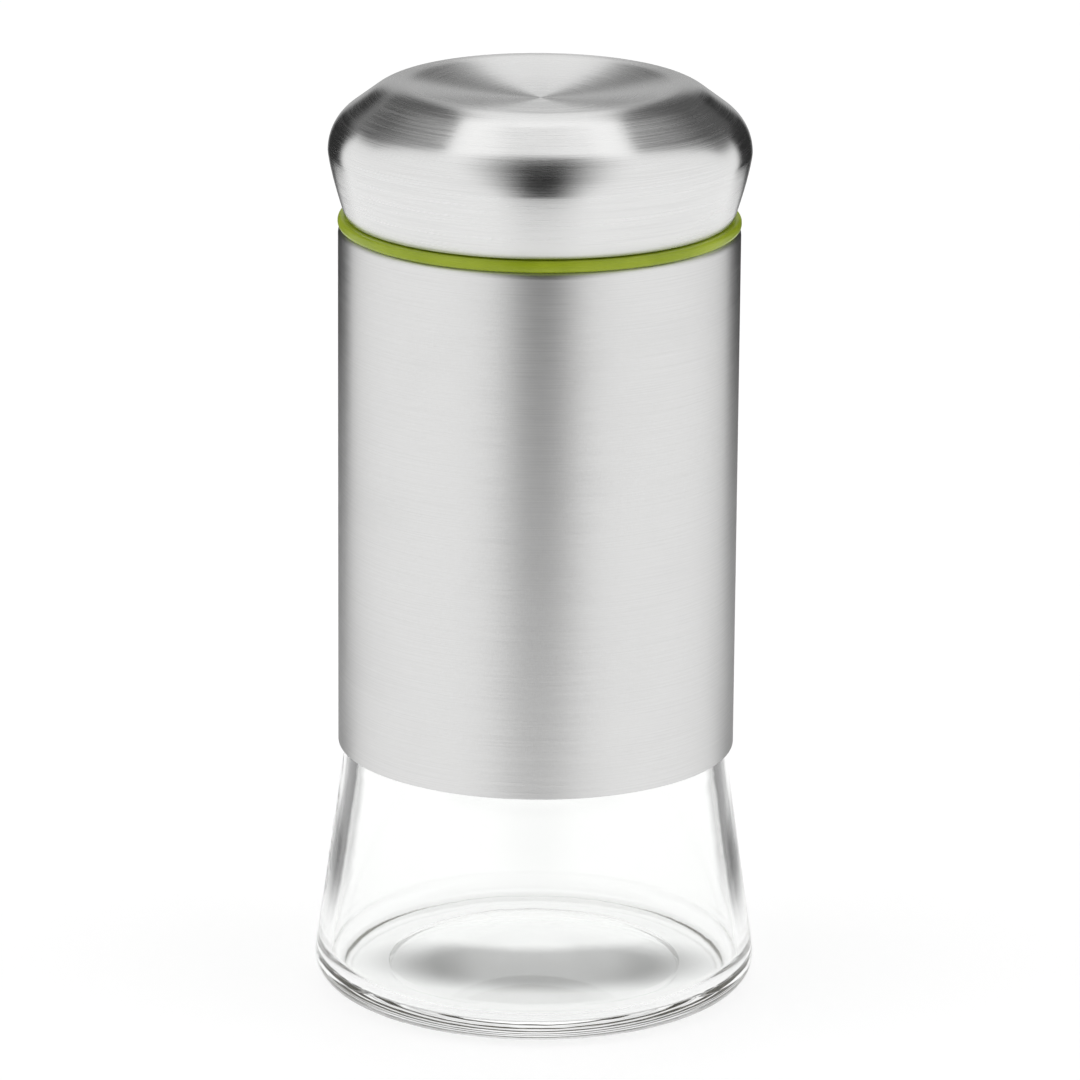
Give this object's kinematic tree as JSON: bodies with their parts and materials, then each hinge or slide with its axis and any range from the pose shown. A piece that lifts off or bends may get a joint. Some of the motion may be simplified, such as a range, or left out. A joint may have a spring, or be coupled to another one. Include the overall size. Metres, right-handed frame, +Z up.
{
  "type": "pepper shaker",
  "caption": "Round table shaker: clear glass jar with a flared foot, brushed steel sleeve, lime green ring and a dished brushed steel screw cap over a perforated plastic insert.",
  "frame": {"origin": "centre of the foot's standing ring, on the table", "axes": "+Z up along the shaker's axis of revolution, -Y towards the viewer of the picture, +X to the viewer's right"},
  "size_m": [0.0604, 0.0604, 0.1253],
  "materials": {
    "clear_glass": "clear soda-lime glass, fire polished",
    "brushed_sleeve": "stainless sheet with fine brushing round the axis",
    "brushed_cap": "stainless sheet with circular brushing from the middle of the dish outwards",
    "green_silicone": "lime green silicone, satin",
    "white_plastic": "natural white polypropylene, satin",
    "liner_plastic": "pale grey polypropylene, satin",
    "sealing_foam": "white closed-cell polyethylene foam",
    "adhesive": "cured hot-melt adhesive"
  },
  "bodies": {
    "jar": {"glass_jar": "clear_glass", "steel_sleeve": "brushed_sleeve", "sleeve_bond_lower": "adhesive", "sleeve_bond_upper": "adhesive", "green_ring": "green_silicone", "shaker_insert": "white_plastic"},
    "seal": {"cap_seal_disc": "sealing_foam"},
    "cap": {"cap_liner": "liner_plastic", "cap_bond_pad": "adhesive", "cap_shell": "brushed_cap"}
  },
  "joints": [
    {"name": "cap_lift", "type": "slide", "parent": "jar", "child": "seal", "axis": [0, 0, 1], "range_m": [0, 0.0211]},
    {"name": "cap_turn", "type": "hinge", "parent": "seal", "child": "cap", "pos_m": [0, 0, 0.1194], "axis": [0, 0, 1], "range_deg": [0, 540]}
  ],
  "couplings": [
    {"joint": "cap_lift", "follows": "cap_turn", "m_per_rad": 0.0022282}
  ]
}
